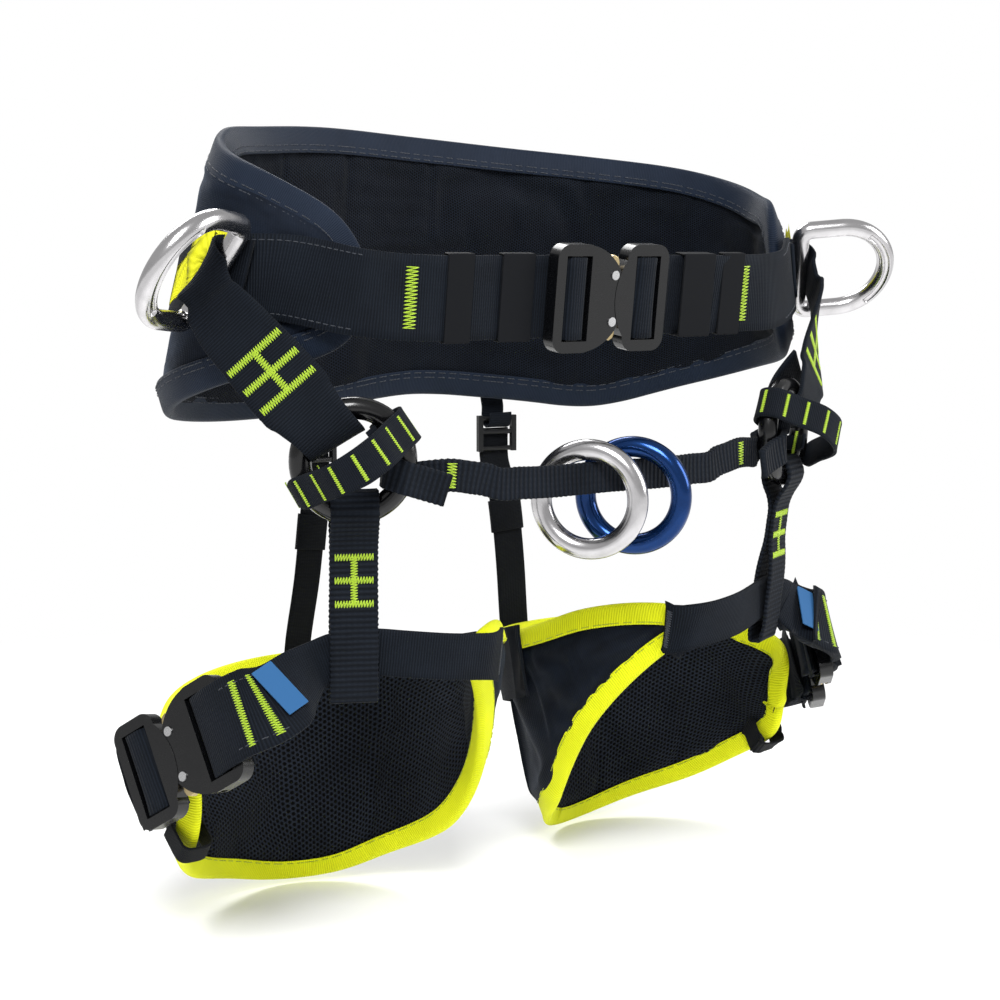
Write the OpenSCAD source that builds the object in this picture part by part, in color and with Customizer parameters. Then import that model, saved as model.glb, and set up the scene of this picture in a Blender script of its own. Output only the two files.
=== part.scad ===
// Tree climbing saddle. Origin: middle of the waist opening at the height of the side rings.
// +X is the wearer's left, +Y the wearer's back, +Z up. Lengths are in millimetres.

/* [Waist belt] */
// Half the width of the waist opening, at the padding's middle layer
waist_a = 196; // [190:1:200]
// Half the depth of the waist opening, at the padding's middle layer
waist_b = 97; // [95:1:100]
// Thickness of the foam in the waist belt and the leg loops
foam_t = 9; // [6:0.5:10]
// Width of the main webbing
web_w = 45; // [42:1:45]
// Thickness of the main webbing
web_t = 2.2; // [1.8:0.1:2.2]

/* [Metal rings] */
// Radius of the round rings, to the middle of their section
ring_r = 28; // [26:0.5:30]
// Radius of the round rings' section
ring_tube = 6; // [5:0.25:6]
// Radius of the side D rings' section
d_tube = 5.5; // [4.5:0.25:5.5]
// Half the height of a side D ring, to the middle of its section
d_half = 30.5; // [30:0.5:33]
// How far a side D ring's arms reach before its round end
d_arm = 26; // [24:1:30]

/* [Leg loops] */
// Radius of a leg loop at the back, at the padding's middle layer
leg_r = 91; // [89:1:92]
// Distance of a leg loop's centre from the middle of the harness
leg_x = 118; // [117:1:120]

/* [Hidden] */
$fn = 48;

skin_t = 1.6;       // outer fabric and inner mesh
gap = 0.8;          // between stacked layers
bind_w = 4;         // how far the edge binding stands out of a pad
bind_t = foam_t + 2 * (skin_t + gap) + 0.6;
layer = foam_t / 2 + gap;
web_off = foam_t / 2 + gap + skin_t + 1.2 + web_t / 2; // webbing's middle, outside a pad's middle layer
leg_z0 = -235;      // height at which leg_r is measured

// Frame of the hip rings and of the swing of a leg loop: the line through a hip ring's centre and a rear strap's top.
hip = [156, -83, -96];
rear = [69, 93, -96];
ring_n = unit(hip - rear);
ring_t = unit(cross([0, 0, 1], ring_n));
up = [0, 0, 1];

// The waist buckle lies across the front. Local x runs from socket to plug, y up, z outwards.
waist_o = [0, -103, -12];
waist_u = [1, 0, 0];
waist_v = unit([0, -0.12, 1]);
// A leg buckle lies on the outside of the thigh.
// The one on the wearer's left is turned further to the front.
function leg_o(right) = right ? [234.4, -33, -252.3] : [234.8, -32.2, -252.2];
function leg_u(right) = unit(right ? [0.387, 0.762, -0.521] : [0.542, 0.663, -0.508]);
function leg_v(right) = let (v = right ? [0.063, 0.595, 0.792] : [0.147, 0.474, 0.869], u = leg_u(right))
    unit(v - u * (u * v));

// Buckle, in its local frame
bk_h = 30;          // half its height
bk_lo = -4;         // underside of the frames
bk_hi = 4.5;        // top of the frames
slot_h = web_w / 2 + 1.1;
pivot = [-0.5, 13];
rivet_r = 2;

// ---------- vectors and curves ----------
function unit(v) = v / norm(v);
function cat_rom(a, b, c, d, t) = 0.5 * (2 * b + (c - a) * t + (2 * a - 5 * b + 4 * c - d) * t * t
    + (3 * b - a - 3 * c + d) * t * t * t);
function spline(p, n) = let (k = len(p) - 1) concat(
    [for (i = [0 : k - 1]) for (j = [0 : n - 1])
        cat_rom(i > 0 ? p[i - 1] : 2 * p[0] - p[1], p[i], p[i + 1],
            i < k - 1 ? p[i + 2] : 2 * p[k] - p[k - 1], j / n)],
    [p[k]]);
function loop_spline(p, n) = let (k = len(p))
    [for (i = [0 : k - 1]) for (j = [0 : n - 1])
        cat_rom(p[(i + k - 1) % k], p[i], p[(i + 1) % k], p[(i + 2) % k], j / n)];
function pos(row) = [row[0], row[1], row[2]];
function side(row) = [row[3], row[4], row[5]];
function heading(p, i, closed) = let (k = len(p))
    unit((closed ? p[(i + 1) % k] : p[min(i + 1, k - 1)]) - (closed ? p[(i + k - 1) % k] : p[max(i - 1, 0)]));
// A point of a buckle's frame, given its origin and its x and y directions
function at(o, u, v, q) = o + u * q[0] + v * q[1] + cross(u, v) * q[2];
function row(p, a, w) = [p[0], p[1], p[2], a[0], a[1], a[2], w];

// ---------- swept solids ----------
// Joins rings of equally many points. A ring runs clockwise, seen along the sweep.
module sweep(rings, closed = false) {
    n = len(rings);
    k = len(rings[0]);
    last = closed ? n - 1 : n - 2;
    sides = [for (i = [0 : last]) for (j = [0 : k - 1])
        let (a = i * k + j, b = ((i + 1) % n) * k + j, c = ((i + 1) % n) * k + (j + 1) % k, d = i * k + (j + 1) % k)
        each j < k / 2 ? [[a, b, c], [a, c, d]] : [[a, b, d], [b, c, d]]];
    end = (n - 1) * k;
    caps = closed ? [] : [for (j = [1 : k - 2]) each [[0, j, j + 1], [end, end + j + 1, end + j]]];
    polyhedron([for (r = rings) each r], concat(sides, caps), convexity = 8);
}
// Webbing along rows of [x, y, z, width direction, width]
module ribbon(rows, t, closed = false) {
    p = [for (r = rows) pos(r)];
    sweep([for (i = [0 : len(p) - 1])
        let (h = heading(p, i, closed), s = side(rows[i]), a = unit(s - (s * h) * h) * rows[i][6] / 2,
            m = cross(h, unit(a)) * t / 2)
        [p[i] + a + m, p[i] - a + m, p[i] - a - m, p[i] + a - m]], closed);
}
// Pads follow an upright curve. A row is [angle, top, bottom, flare, bulge].
function flat(q, leg) = leg ? [cos(q), sin(q), 0] : unit([waist_b * cos(q), waist_a * sin(q), 0]);
function plan(q, leg) = leg ? [leg_x + leg_r * cos(q), leg_r * sin(q), 0] : [waist_a * cos(q), waist_b * sin(q), 0];
function pad_at(leg, r, z, off) = plan(r[0], leg) + up * z
    + flat(r[0], leg) * (r[4] + off - r[3] * (leg ? z - leg_z0 : z));
function pad_up(leg, r) = up - flat(r[0], leg) * r[3];
function between(rows, q) = let (i = max([for (k = [0 : len(rows) - 2]) rows[k][0] <= q ? k : 0]))
    rows[i] + (rows[i + 1] - rows[i]) * (q - rows[i][0]) / (rows[i + 1][0] - rows[i][0]);
module pad(rows, leg, d1, d2)
    sweep([for (r = rows) [pad_at(leg, r, r[1], d2), pad_at(leg, r, r[2], d2),
        pad_at(leg, r, r[2], d1), pad_at(leg, r, r[1], d1)]]);
// Binding round the whole edge of a pad
module binding(rows, leg) {
    n = len(rows);
    all = concat(rows, [for (i = [n - 1 : -1 : 0]) rows[i]]);
    edge = [for (i = [0 : 2 * n - 1]) pad_at(leg, all[i], i < n ? all[i][1] : all[i][2], 0)];
    skin = [for (r = all) flat(r[0], leg)];
    sweep([for (i = [0 : 2 * n - 1])
        let (h = heading(edge, i, true), o = unit(cross(skin[i], h)), m = skin[i] * bind_t / 2,
            a = edge[i] + o * gap, b = edge[i] + o * (gap + bind_w))
        [b + m, a + m, a - m, b - m]], true);
}

// ---------- waist belt ----------
d_q = -15;          // where a side D ring's bar stands on the waist curve
d_row = [d_q, 45, -52, 0.14, 5];
waist_rows = spline([
    [-31, 32, -40, 0.1, 8], [-25, 41, -47, 0.12, 7], d_row, [0, 53, -58, 0.15, 3.5],
    [25, 64, -72, 0.13, 1], [48, 71, -85, 0.08, 0], [68, 76, -79, 0.06, 0], [90, 81, -73, 0.07, 0],
    [112, 84, -81, 0.1, 0], [135, 81, -82, 0.16, 0], [158, 77, -76, 0.22, 1], [176, 69, -64, 0.2, 3],
    [195, 57, -51, 0.14, 5], [206, 47, -45, 0.12, 4], [216, 34, -37, 0.1, 2], [224, 16, -26, 0.08, 0]], 3);
module waist_layer(d1, d2) pad(waist_rows, false, d1, d2);

// ---------- webbing folded round a buckle's bar ----------
socket_fold = [[-38.3, -8.9], [-28.3, -8.9], [-22.3, -8.2], [-19.7, -3], [-20.2, 2.2], [-22.6, 3.8], [-26, 4],
    [-29.4, 3.8], [-31.8, 2.2], [-32.5, -2.5], [-34, -5.2], [-38, -6.2], [-46, -6.2], [-78, -6.2]];
plug_fold = [[48, -6], [41, -6], [34.6, -5.9], [30.8, -4.4], [29.7, -1], [29, 2.2], [26.6, 3.8], [23.2, 4],
    [19.8, 3.8], [17.4, 2.2], [16.7, -2], [17.8, -4.9], [20.8, -6.2], [24.6, -6.3]];
under = -10.4;       // height of the fixed webbing's middle below a plug
function fold_rows(o, u, v, fold) = [for (q = spline(fold, 2)) row(at(o, u, v, [q[0], 0, q[1]]), v, web_w)];

// ---------- belt webbing ----------
// It starts below the waist buckle's plug, runs round the pad, and ends folded round the socket's bar.
straight = 112;     // half the straight stretch across the front
function leaving(s) = [for (q = [[151, 19, -8], [136, 13.5, -10]]) row([s * q[0], waist_o[1] + q[1], q[2]], up, web_w)];
function on_belt(q) = let (r = between(waist_rows, q)) row(pad_at(false, r, 0, web_off), pad_up(false, r), web_w);
belt_rows = concat(
    [for (x = [14, straight]) row(at(waist_o, waist_u, waist_v, [x, 0, under]), waist_v, web_w)],
    [leaving(1)[1], leaving(1)[0]],
    [for (r = waist_rows) if (r[0] < 208) row(pad_at(false, r, 0, web_off), pad_up(false, r), web_w)],
    leaving(-1),
    fold_rows(waist_o, waist_u, waist_v, [for (i = [len(socket_fold) - 1 : -1 : 0])
        i == len(socket_fold) - 1 ? [-straight, socket_fold[i][1]] : socket_fold[i]]));

// ---------- buckle ----------
module frame_plan(x0, x1, r) {
    translate([x0 + r, -bk_h]) square([x1 - x0 - 2 * r, 2 * bk_h]);
    translate([x0, r - bk_h]) square([x1 - x0, 2 * (bk_h - r)]);
    for (x = [x0 + r, x1 - r]) for (y = [r - bk_h, bk_h - r]) translate([x, y]) circle(r);
}
module slots(x, bar) {
    for (s = [-1, 1]) translate([x + s * (bar + 5) / 2 - 2.5, -slot_h, bk_lo - 1]) cube([5, 2 * slot_h, 12]);
    translate([x - bar / 2 - 1, -slot_h, 2]) cube([bar + 2, 2 * slot_h, 6]);
}
module socket_plan() difference() {
    union() {
        frame_plan(-41, -12, 8);
        intersection() {
            translate([-21.7, 0]) circle(29.7);
            translate([-24, -bk_h]) square(2 * bk_h);
        }
    }
    translate([37, 0]) circle(36.4);
}
module socket() difference() {
    union() {
        translate([0, 0, 2.4]) linear_extrude(bk_hi - 2.4) socket_plan();
        translate([0, 0, bk_lo]) linear_extrude(-2.4 - bk_lo) socket_plan();
        translate([0, 0, -3]) linear_extrude(6) frame_plan(-41, -14.6, 8);
    }
    slots(-26, 7.5);
    for (s = [-1, 1]) translate([pivot[0], s * pivot[1], bk_lo - 1]) cylinder(r = rivet_r + 0.05, h = 12);
}
module rivets() for (s = [-1, 1]) translate([pivot[0], s * pivot[1], 0]) {
    translate([0, 0, bk_lo - 0.8]) cylinder(r = rivet_r, h = bk_hi - bk_lo + 1.6);
    translate([0, 0, bk_hi + 0.02]) cylinder(r = 2.6, h = 0.8);
    translate([0, 0, bk_lo - 0.82]) cylinder(r = 2.6, h = 0.8);
}
module springs() for (s = [-1, 1]) translate([-10.4, s * 22.5, -1.8]) linear_extrude(3.6) difference() {
    circle(3.4);
    circle(2.9);
    translate([0, s > 0 ? -5 : 0]) square(5);
}
// A latch lever. Its finger tab stands out of the corner between socket and plug.
module lever(s) translate([0, 0, -2.2]) linear_extrude(4.4) mirror([0, s > 0 ? 0 : 1]) difference() {
    polygon([[2.3, 11.2], [2.9, 14.6], [3.9, 17], [4.2, 20], [3.2, 22.6], [0.6, 24], [-1.8, 23.2], [-3.2, 20.6],
        [-5.4, 17.4], [-9.6, 15.6], [-10.6, 12.6], [-9.8, 10.3], [-6, 10.3], [-3.4, 11], [-1.6, 10.2], [0.6, 10.2]]);
    translate(pivot) circle(rivet_r + 0.06);
}
module plug() {
    difference() {
        translate([0, 0, bk_lo]) linear_extrude(bk_hi - bk_lo) {
            frame_plan(8, 38, 8);
            intersection() {
                translate([37, 0]) circle(36);
                translate([0.5, -24]) square([16, 48]);
            }
        }
        slots(23.2, 7.5);
    }
    translate([0, 0, -1.9]) linear_extrude(3.8) {
        translate([-13.8, -7.5]) square([20, 15]);
        for (s = [-1, 1]) translate([-11.2, s * 7.2]) circle(2.4);
    }
}
module place(o, u, v) {
    w = cross(u, v);
    multmatrix([for (i = [0 : 2]) [u[i], v[i], w[i], o[i]]]) children();
}
module at_waist() place(waist_o, waist_u, waist_v) children();
module at_leg(right) place(leg_o(right), leg_u(right), leg_v(right)) children();

// ---------- front keepers, D sleeves ----------
// A flat sleeve of soft webbing round the belt, in the waist buckle's frame
module keeper(x, w, z0, z1) translate([x - w / 2, 0, 0]) difference() {
    translate([0, -web_w / 2 - 1.6, z0]) cube([w, web_w + 3.2, z1 - z0]);
    translate([-1, -web_w / 2 - 0.4, z0 + 1.1]) cube([w + 2, web_w + 0.8, z1 - z0 - 2.2]);
}
module web_keepers() at_waist() {
    keeper(-61, 22, -8.9, -3.5);
    keeper(-99, 17, -8.9, -3.5);
    keeper(69, 24, -12.8, -3.3);
    keeper(99, 17, -12.8, -7.1);
}
// A D ring's bar leans forwards on the belt. The hip webbing comes from the front, behind the bar, and turns round it
// down to the hip ring.
d_tilt = 33;
wrap = 22;          // angle between the hip webbing and the plane square to the bar
d_n = unit(flat(d_q, false) + up * d_row[3]);
d_up = unit(pad_up(false, d_row));
d_fwd = cross(d_n, d_up);
d_b = d_up * cos(d_tilt) + d_fwd * sin(d_tilt);
d_s = d_fwd * cos(d_tilt) - d_up * sin(d_tilt);
d_wrap_r = d_tube + 0.7 + web_t / 2;
d_bar = pad_at(false, d_row, 0, web_off) + d_n * (web_t + 1.8 + d_wrap_r);
d_face = [0.867, -0.498, 0];
d_out = unit(d_face - (d_face * d_b) * d_b);
module d_tab() {
    mid = d_bar - d_s * (d_wrap_r + 8) - d_n * 3;
    ribbon([for (k = [-20, 0, 18]) row(mid + d_b * k, d_s, 9)], 1.2);
}
module side_d() place(d_bar, d_out, cross(d_b, d_out)) {
    b = 7;
    translate([0, 0, b - d_half]) cylinder(r = d_tube, h = 2 * (d_half - b));
    for (s = [-1, 1]) {
        translate([b, 0, s * d_half]) rotate([0, 90, 0]) cylinder(r = d_tube, h = d_arm - b);
        translate([b, 0, s * (d_half - b)]) rotate([s * 90, 0, 0]) rotate([0, 0, 90]) rotate_extrude(angle = 90)
            translate([b, 0]) circle(d_tube);
    }
    difference() {
        translate([d_arm, 0, 0]) rotate([90, 0, 0]) rotate([0, 0, -90]) rotate_extrude(angle = 180)
            translate([d_half, 0]) circle(d_tube);
        for (s = [-1, 1]) translate([d_arm, 0, 0]) rotate([90, 0, 0]) rotate([0, 0, -55]) rotate_extrude(angle = 110)
            translate([d_half, s * (d_tube + 0.6)]) circle(2.2);
    }
}

// ---------- hips ----------
module round_ring(c, n) place(c, unit(cross(up, n)), up) rotate_extrude($fn = 96)
    translate([ring_r, 0]) circle(ring_tube);
// A point by its distances along the hip ring's plane and its axis
// How far a flat web of width w stays off the ring's curve on its inner side
function sag(w) = w * w / (8 * (ring_r - ring_tube)) + 0.2;
function hip_at(s, dir, h) = hip + (ring_t * dir[0] + up * dir[1]) * s + ring_n * h;
fold_r = ring_tube + 0.5 + web_t / 2;
hip_dir = [0.67, 0.742];
module hip_web() {
    over = [for (f = [-90 : 30 : 90])
        let (e = d_s * sin(f) + d_n * cos(f), r = d_n * sin(f) - d_s * cos(f))
        row(d_bar + r * d_wrap_r - d_b * (d_wrap_r * f * PI / 180 * tan(wrap)), d_b * cos(wrap) + e * sin(wrap), 34)];
    head = -d_s * cos(wrap) - d_b * sin(wrap);
    leave = d_s * cos(wrap) - d_b * sin(wrap);
    across = -ring_t * 0.86 + up * 0.51;
    bend = [[50, 6.4, 41], [40, 8.4, 38], [30, 9.4, 34], [20, 9.6, 32], [13.6, 5.8, 32], [12.2, 0, 32], [13.6, -5.8, 32],
        [20, -9.6, 32], [30, -9.2, 34], [40, -5.4, 38], [48, -1, 42]];
    ribbon(spline(concat([for (t = [13, 6]) row(pos(over[0]) - head * t, side(over[0]), 34)], over,
        [for (q = [[3, 31], [10, 29], [20, 36]]) row(pos(over[6]) + leave * q[0], side(over[6]), q[1])],
        [for (q = bend) row(hip_at(q[0], hip_dir, q[1]), across, q[2])]), 2), web_t);
}
gear_dir = [-0.83, 0.555];
gear_low = [-0.875, 0.485];  // the loop's lower half leans away from the riser, which swings
module gear_loop() {
    in = fold_r + sag(19);
    bend = [[14, 9], [ring_r - in + 0.6, 4.4], [ring_r - in, 0], [ring_r - in + 0.8, -4.6], [ring_r - 1.5, -fold_r - 0.5],
        [ring_r + 5.6, -5.6], [ring_r + fold_r + 0.2, 0], [ring_r + 6, 7], [ring_r - 3, 17], [15, 29], [0, 34]];
    half = len(bend) - 1;
    // The lower end is gathered, where it shares the ring with the riser.
    rows = concat([for (q = bend) [q[0], q[1], 19]],
        [for (i = [half - 1 : -1 : 0]) [-bend[i][0], bend[i][1], i < 7 ? 9 : 17]]);
    ribbon(spline([for (q = rows) let (d = q[0] > 0 ? gear_dir : gear_low)
        row(hip_at(q[0], d, q[1]), ring_t * d[1] - up * d[0], q[2])], 2), 2);
}
// The bridge hangs between the hip rings, and lies straight where its two rings run.
bridge_y = -104;
bridge_z = -112;
bridge_w = 17;
module bridge_web() {
    dir = unit([-0.95, -0.31]);
    out = fold_r + 1.4;
    in = out + sag(bridge_w) + 0.4;
    fold = [[52, 5], [42, 5.6], [ring_r + 6.2, 7.4], [ring_r - 1, out + 0.2], [ring_r - in + 1.4, 5.6], [ring_r - in, 0],
        [ring_r - in + 1.4, -5.6], [ring_r - 1, -out - 0.2], [ring_r + 6.2, -7.2]];
    end = [for (q = fold) row(hip_at(q[0], dir, q[1]), up, bridge_w)];
    run = [row([104, -98.5, -105.5], up, bridge_w), row([82, -102.5, -109.5], up, bridge_w),
        row([62, bridge_y, bridge_z], up, bridge_w)];
    half = concat([for (i = [0 : len(end) - 1]) end[i]], run);
    flip = [for (i = [len(half) - 1 : -1 : 0]) let (r = half[i]) [-r[0], r[1], r[2], r[3], r[4], r[5], r[6]]];
    ribbon(spline(concat(half, flip), 2), 3.6);
}
bridge_ring_n = unit([-0.8, -0.6, 0]);
ring_drop = ring_r - ring_tube - bridge_w / 2 - 1;
module bridge_ring(x) round_ring([x, bridge_y, bridge_z - ring_drop], bridge_ring_n);

// ---------- rear straps ----------
rear_u = unit([0.984, -0.177, 0]);
rear_o = rear + [0, 6.4, 0];
module rear_tab(s) {
    z = rear[2];
    r = between(waist_rows, 90 - s * 19.7);
    rows = [[1.8, -60], [2.2, -77], [s < 0 ? 8.2 : 4.6, -88], [s < 0 ? 6 : 4.8, z + 2], [3.8, z - 3], [0, z - 5.4], [-3.8, z - 3], [-4.8, z + 2],
        [-4.6, -92]];
    ribbon(spline([for (q = rows) row(q[1] > -82 ? pad_at(false, r, q[1], layer + skin_t + 1 + q[0])
        : [s * rear_o[0], rear_o[1] + q[0], q[1]], [s * rear_u[0], rear_u[1], 0], 15)], 2), 1.4);
}
module slider() place(rear_o, rear_u, up) {
    for (z = [0, -9, -20]) translate([-11, z, 0]) rotate([0, 90, 0]) cylinder(r = 1.6, h = 22);
    for (s = [-1, 1]) translate([s * 12.2 - 1.7, -22, -1.9]) cube([3.4, 24, 3.8]);
}

// ---------- leg loop (wearer's left) ----------
// On the wearer's right the inner thigh's lower edge hangs lower, and the outer edge is shorter.
function leg_rows(right) = let (h = right ? 1 : 0) spline([
    [-15 + 6 * h, -259, -292 - 6 * h, -0.1, 13 + 2 * h], [-8 + 4 * h, -249 - 6 * h, -308 - 4 * h, -0.1, 15 + h],
    [8, -243 - 8 * h, -325, -0.1, 12], [30, -238 - 8 * h, -344, -0.12, 5], [60, -238 - 3 * h, -357, -0.14, 0], [90, -238, -366, -0.16, 0], [120, -236, -364, -0.2, 1], [150, -231, -350, -0.24, 2],
    [174, -224, -333 - 4 * h, -0.24, 3], [190, -215, -305 - 18 * h, -0.2, 1], [205, -205, -272 - 26 * h, -0.15, -1],
    [222, -200, -242 - 20 * h, -0.1, -3], [238, -200, -220 - 8 * h, -0.08, -2], [247, -204, -213 - 4 * h, -0.08, 0]], 3);
// The band comes up through the socket, over its outer bar, and along to the label.
leg_fold = [[-38.3, -8.9], [-28.3, -8.9], [-22.3, -8.2], [-19.7, -3], [-20.2, 2.2], [-22.6, 4], [-26.6, 4.9],
    [-31, 6.1], [-36, 6.6], [-42, 6.6], [-50, 5.6], [-58, 1.6]];
riser_foot = [152, -74.9, -200];
band_turn = [171, -68.5, -206];
label = [-69, 2, -10];
// A point of a leg buckle's frame
function leg_at(right, q) = at(leg_o(right), leg_u(right), leg_v(right), q);
function label_side(right) = unit(leg_v(right) * 0.98 + leg_u(right) * 0.17);
function on_leg(q, z, w, out = 0.4) = let (r = between(leg_rows(false), q))
    row(pad_at(true, r, z, web_off + out), pad_up(true, r), w);
band_path = [[228, -214, 34], [214, -220, 40], [198, -228, 44], [180, -238, 45], [160, -247, 45], [140, -255, 45],
    [120, -263, 45], [100, -271, 45], [80, -278, 45], [60, -284, 45], [42, -288, 45], [28, -288, 45]];
function band_rows(right) = concat(
    fold_rows(leg_o(right), leg_u(right), leg_v(right), leg_fold),
    spline([
        row(leg_at(right, label), label_side(right), 41),
        row(band_turn, [0, 0.1, 1], 27),
        row(riser_foot, up, 25),
        row([128, -86.3, -202], up, 25),
        row([104, -94.5, -205], up, 25),
        on_leg(246, -208, 26, 2.5),
        on_leg(237, -210, 30, 1.5),
        for (q = band_path) on_leg(q[0], q[1], q[2])], 2),
    [for (q = [[43, under - 1.8], [36, under - 0.8], [26, under], [14, under]])
        row(leg_at(right, [q[0], 0, q[1]]), leg_v(right), web_w)]);
module riser() {
    foot_h = -9;
    z1 = hip[2] - ring_r;
    in = fold_r + 0.4 + sag(25);
    bend = [[0, z1 + in], [5, z1 + in - 0.8], [fold_r + 0.9, z1 + 1.5], [6.2, z1 - 6.4], [1.8, z1 - 17], [1.8, -165],
        [4, -181], [4, -222], [0, -227], [-4, -222], [-4, -181], [-1.8, -165], [-1.8, z1 - 17], [-6.2, z1 - 6.4],
        [-fold_r - 0.9, z1 + 1.5], [-5, z1 + in - 0.8]];
    ribbon(loop_spline([for (q = bend) let (k = max(0, (z1 - q[1]) / (z1 + 200)))
        row([hip[0], hip[1], 0] + ring_n * (q[0] + foot_h * k) + up * q[1], ring_t, 25)], 2), 2, true);
}
module leg_label(right) {
    h = unit(band_turn - leg_at(right, [-58, 0, 1.6]));
    s = unit(label_side(right) - (label_side(right) * h) * h);
    place(leg_at(right, label) + cross(s, h) * (web_t / 2 + 1.4), h, s) translate([-7, -11, -0.4]) cube([14, 30, 0.8]);
}
module leg_keeper(right) {
    e = [for (q = [-6.5, -3]) let (r = between(leg_rows(right), q)) pad_at(true, r, r[2], 0)];
    h = unit(e[1] - e[0]);
    skin = flat(-4.8, true);
    bend = [[9.3, -12], [9.3, 2], [8.2, 6.2], [4.6, 8], [-4.6, 8], [-8.2, 6.2], [-9.3, 2], [-9.3, -12]];
    ribbon(spline([for (q = bend) row((e[0] + e[1]) / 2 + skin * q[0] + cross(h, skin) * q[1], h, 13)], 2), 1.2);
}
module rear_strap() {
    run = [rear_o + [0, 3.2, -6.6], rear_o + [0, 3.2, -10], rear_o + [0, 3.4, -16], rear_o + [0, 2, -30],
        [74, 98, -150], [79, 98, -190], [84, 101, -228], [86, 101, -252]];
    ribbon(spline([for (q = run) row(q, rear_u, 20)], 3), 1.6);
}

module mirrored(right) mirror([right ? 1 : 0, 0, 0]) children();
module both() {
    children();
    mirror([1, 0, 0]) children();
}

// ---------- nodes ----------
module waist_foam() color("dimgray") waist_layer(-foam_t / 2, foam_t / 2);
module waist_shell() color("#12161f") waist_layer(layer, layer + skin_t);
module waist_liner() color("#0b0e16") waist_layer(-layer - skin_t, -layer);
module waist_binding() color("#1d2735") binding(waist_rows, false);
module belt_web() color("#151a22") ribbon(belt_rows, web_t);
module keepers() color("#1c1f24") web_keepers();
module d_tabs() color("#e4ea2c") both() d_tab();
module hip_webs() color("#151a22") both() hip_web();
module hip_rings() color("#0d0d0f") both() round_ring(hip, ring_n);
module gear_loops() color("#171b22") both() gear_loop();
module bridge() color("#151a22") bridge_web();
module rear_tabs() color("#14171d") for (s = [-1, 1]) rear_tab(s);
module leg_foam(r) color("dimgray") mirrored(r) pad(leg_rows(r), true, -foam_t / 2, foam_t / 2);
module leg_shell(r) color("#12161f") mirrored(r) pad(leg_rows(r), true, layer, layer + skin_t);
module leg_liner(r) color("#0b0e16") mirrored(r) pad(leg_rows(r), true, -layer - skin_t, -layer);
module leg_binding(r) color("#d7e52a") mirrored(r) binding(leg_rows(r), true);
module leg_band(r) color("#151a22") mirrored(r) ribbon(band_rows(r), web_t);
module leg_part(r, c) color(c) mirrored(r) at_leg(r) children();
module plug_web(o, u, v) color("#151a22") ribbon(fold_rows(o, u, v, plug_fold), web_t);
module leg_plug_web(r) mirrored(r) plug_web(leg_o(r), leg_u(r), leg_v(r));

waist_foam();
waist_shell();
waist_liner();
waist_binding();
belt_web();
keepers();  // web_keepers
d_tabs();
hip_webs();
hip_rings();
gear_loops();
bridge();  // bridge_web
color("#0d0d0f") at_waist() socket();  // waist_socket
color("silver") at_waist() rivets();  // waist_rivets
color("silver") at_waist() springs();  // waist_springs
rear_tabs();
color("#0d0d0f") at_waist() plug();  // waist_plug
plug_web(waist_o, waist_u, waist_v);  // waist_plug_web
color("#b39a5a") at_waist() lever(1);  // waist_lever_upper
color("#b39a5a") at_waist() lever(-1);  // waist_lever_lower
color("silver") mirrored(true) side_d();  // side_d_right
color("silver") side_d();  // side_d_left
color("silver") bridge_ring(-14);  // ring_silver
color("#123a6e") bridge_ring(18);  // ring_blue
for (r = [true, false]) {
    s = r ? "_right" : "_left";
    leg_foam(r);
    leg_shell(r);
    leg_liner(r);
    leg_binding(r);
    leg_band(r);
    color("#151a22") mirrored(r) riser();
    leg_part(r, "#0d0d0f") socket();
    leg_part(r, "silver") rivets();
    leg_part(r, "silver") springs();
    leg_part(r, "#0d0d0f") plug();
    leg_plug_web(r);
    leg_part(r, "#b39a5a") lever(1);
    leg_part(r, "#b39a5a") lever(-1);
    color("#2a5d94") mirrored(r) leg_label(r);
    color("#101317") mirrored(r) leg_keeper(r);
    color("#101317") mirrored(r) rear_strap();
    color("#14161a") mirrored(r) slider();
}
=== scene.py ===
"""Looks of the tree climbing saddle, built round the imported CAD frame.

Every strap and pad reads its route from its CAD node. Lengths in this script are in millimetres,
in the row frame, unless a name ends in _m. Blender's own coordinates are metres.
"""

import math
from itertools import combinations

import bmesh
import bpy
import numpy as np
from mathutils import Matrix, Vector


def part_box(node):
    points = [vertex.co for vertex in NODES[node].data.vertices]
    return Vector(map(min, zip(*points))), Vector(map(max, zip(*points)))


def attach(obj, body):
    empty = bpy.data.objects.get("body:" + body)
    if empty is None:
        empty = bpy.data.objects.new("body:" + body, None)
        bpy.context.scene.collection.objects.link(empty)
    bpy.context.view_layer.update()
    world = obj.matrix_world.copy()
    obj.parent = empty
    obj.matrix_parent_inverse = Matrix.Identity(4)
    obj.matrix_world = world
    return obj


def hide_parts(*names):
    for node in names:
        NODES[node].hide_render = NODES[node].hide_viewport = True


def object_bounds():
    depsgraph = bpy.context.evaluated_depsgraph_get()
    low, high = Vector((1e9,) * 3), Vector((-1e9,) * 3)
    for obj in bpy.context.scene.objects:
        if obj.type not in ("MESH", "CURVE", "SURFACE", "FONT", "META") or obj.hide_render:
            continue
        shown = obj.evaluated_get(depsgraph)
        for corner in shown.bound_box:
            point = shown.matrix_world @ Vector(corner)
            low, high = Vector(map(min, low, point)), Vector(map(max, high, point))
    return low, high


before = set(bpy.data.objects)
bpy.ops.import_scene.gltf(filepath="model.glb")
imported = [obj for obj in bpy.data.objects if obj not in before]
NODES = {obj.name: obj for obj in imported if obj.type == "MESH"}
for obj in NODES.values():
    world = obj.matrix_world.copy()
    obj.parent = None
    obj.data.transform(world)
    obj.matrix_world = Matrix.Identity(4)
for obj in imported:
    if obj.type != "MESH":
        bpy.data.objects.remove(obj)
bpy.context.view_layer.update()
MM = 0.001
LEGS = ("right", "left")

# ---------------------------------------------------------------- reading the frame


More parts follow.
